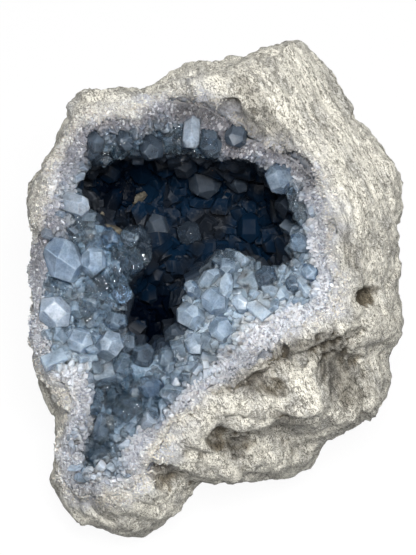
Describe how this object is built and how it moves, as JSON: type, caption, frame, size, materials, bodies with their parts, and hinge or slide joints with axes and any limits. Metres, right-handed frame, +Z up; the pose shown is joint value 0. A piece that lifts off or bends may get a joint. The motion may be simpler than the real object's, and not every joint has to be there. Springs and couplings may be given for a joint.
{
  "type": "celestite geode",
  "caption": "Lumpy limestone geode broken open across its front, its hollow lined with sky-blue celestite crystals over a pale druse crust, resting on a small worn flat.",
  "frame": {"origin": "middle of the footprint of the whole geode, on the surface it rests on", "axes": "+Z up, +X to the right, the opening faces up and towards -Y, its axis 35 degrees from +Z"},
  "size_m": [0.186, 0.2166, 0.1666],
  "materials": {
    "limestone": "matt, sandy, pitted grey-cream limestone",
    "druse": "granular, sparkling blue-grey crystal crust",
    "celestite": "see-through pale-blue crystal, milky inside, glossy faces",
    "tan_limestone": "rough tan limestone splinter"
  },
  "bodies": {
    "root": {"channel_crystal_1": "celestite", "channel_crystal_2": "celestite", "channel_crystal_3": "celestite", "channel_crystal_4": "celestite", "channel_crystal_5": "celestite", "channel_crystal_6": "celestite", "channel_crystal_7": "celestite", "druse_lining": "druse", "far_wall_crystal_1": "celestite", "far_wall_crystal_2": "celestite", "far_wall_crystal_3": "celestite", "far_wall_crystal_4": "celestite", "far_wall_crystal_5": "celestite", "far_wall_crystal_6": "celestite", "far_wall_crystal_7": "celestite", "far_wall_crystal_8": "celestite", "far_wall_crystal_9": "celestite", "left_rim_cluster_1": "celestite", "left_rim_cluster_2": "celestite", "left_rim_crystal_1": "celestite", "left_rim_crystal_2": "celestite", "left_rim_crystal_3": "celestite", "limestone_splinter_1": "tan_limestone", "limestone_splinter_2": "tan_limestone", "limestone_splinter_3": "tan_limestone", "lip_cluster_1": "celestite", "lip_crystal_1": "celestite", "lip_crystal_2": "celestite", "lip_crystal_3": "celestite", "lip_crystal_4": "celestite", "lip_crystal_5": "celestite", "lip_crystal_6": "celestite", "lip_crystal_7": "celestite", "matrix": "limestone", "mound_cluster_1": "celestite", "mound_crystal_1": "celestite", "mound_crystal_2": "celestite", "mound_crystal_3": "celestite", "mound_crystal_4": "celestite", "right_rim_crystal_1": "celestite", "right_rim_crystal_2": "celestite", "right_rim_crystal_3": "celestite", "right_rim_crystal_4": "celestite", "top_rim_crystal_1": "celestite", "top_rim_crystal_2": "celestite", "top_rim_crystal_3": "celestite", "top_rim_crystal_4": "celestite", "top_rim_crystal_5": "celestite", "top_rim_crystal_6": "celestite"}
  },
  "joints": []
}
